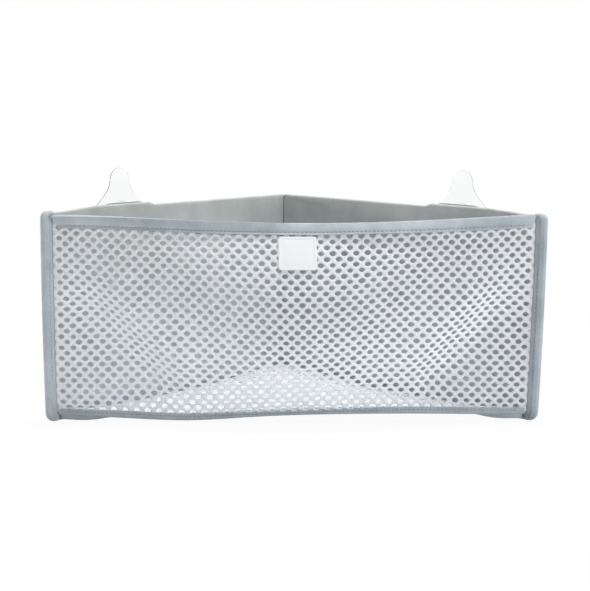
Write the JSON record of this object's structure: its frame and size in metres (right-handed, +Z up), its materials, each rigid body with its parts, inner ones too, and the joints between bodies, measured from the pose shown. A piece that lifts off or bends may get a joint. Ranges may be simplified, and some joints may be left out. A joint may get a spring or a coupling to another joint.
{
  "type": "bath toy organizer",
  "caption": "Corner basket of stiffened cloth walls with a bulging net front and a net floor, hung by straps on clear adhesive pad hooks; the walls fold together at the corner.",
  "frame": {"origin": "under the middle of the basket's box, on the surface that it stands on", "axes": "+X to the right as seen from the net front, +Y from the front to the back corner, +Z up"},
  "size_m": [0.3892, 0.225, 0.192],
  "materials": {
    "wall_cloth": "matt coated cloth",
    "stiffener_board": "plain sheet",
    "binding_tape": "woven tape",
    "net": "knitted polyester net",
    "label_cloth": "smooth coated tape",
    "clear_pad": "clear sheet",
    "adhesive_film": "clear adhesive",
    "clear_hook": "clear moulding"
  },
  "bodies": {
    "left_wall": {"left_wall_sleeve": "wall_cloth", "left_wall_board": "stiffener_board", "left_edge_binding": "binding_tape", "left_foot_binding": "binding_tape", "left_hanging_strap": "wall_cloth", "front_net": "net", "floor_net": "net", "front_rim_binding": "binding_tape", "front_foot_binding": "binding_tape", "label": "label_cloth", "corner_tape": "binding_tape"},
    "right_wall": {"right_wall_sleeve": "wall_cloth", "right_wall_board": "stiffener_board", "right_edge_binding": "binding_tape", "right_foot_binding": "binding_tape", "right_hanging_strap": "wall_cloth"},
    "left_pad": {"left_wall_pad": "clear_pad", "left_adhesive_film": "adhesive_film", "left_hook": "clear_hook"},
    "right_pad": {"right_wall_pad": "clear_pad", "right_adhesive_film": "adhesive_film", "right_hook": "clear_hook"}
  },
  "joints": [
    {"name": "corner_fold", "type": "hinge", "parent": "left_wall", "child": "right_wall", "pos_m": [0, 0.10731, 0.081], "axis": [0, 0, -1], "range_deg": [0, 80], "deforming": ["front_net", "floor_net", "front_rim_binding", "front_foot_binding", "label", "corner_tape"]},
    {"name": "left_unhook", "type": "slide", "parent": "left_wall", "child": "left_pad", "axis": [0, 0, -1], "range_m": [0, 0.02]},
    {"name": "right_unhook", "type": "slide", "parent": "right_wall", "child": "right_pad", "axis": [0, 0, -1], "range_m": [0, 0.02]}
  ]
}
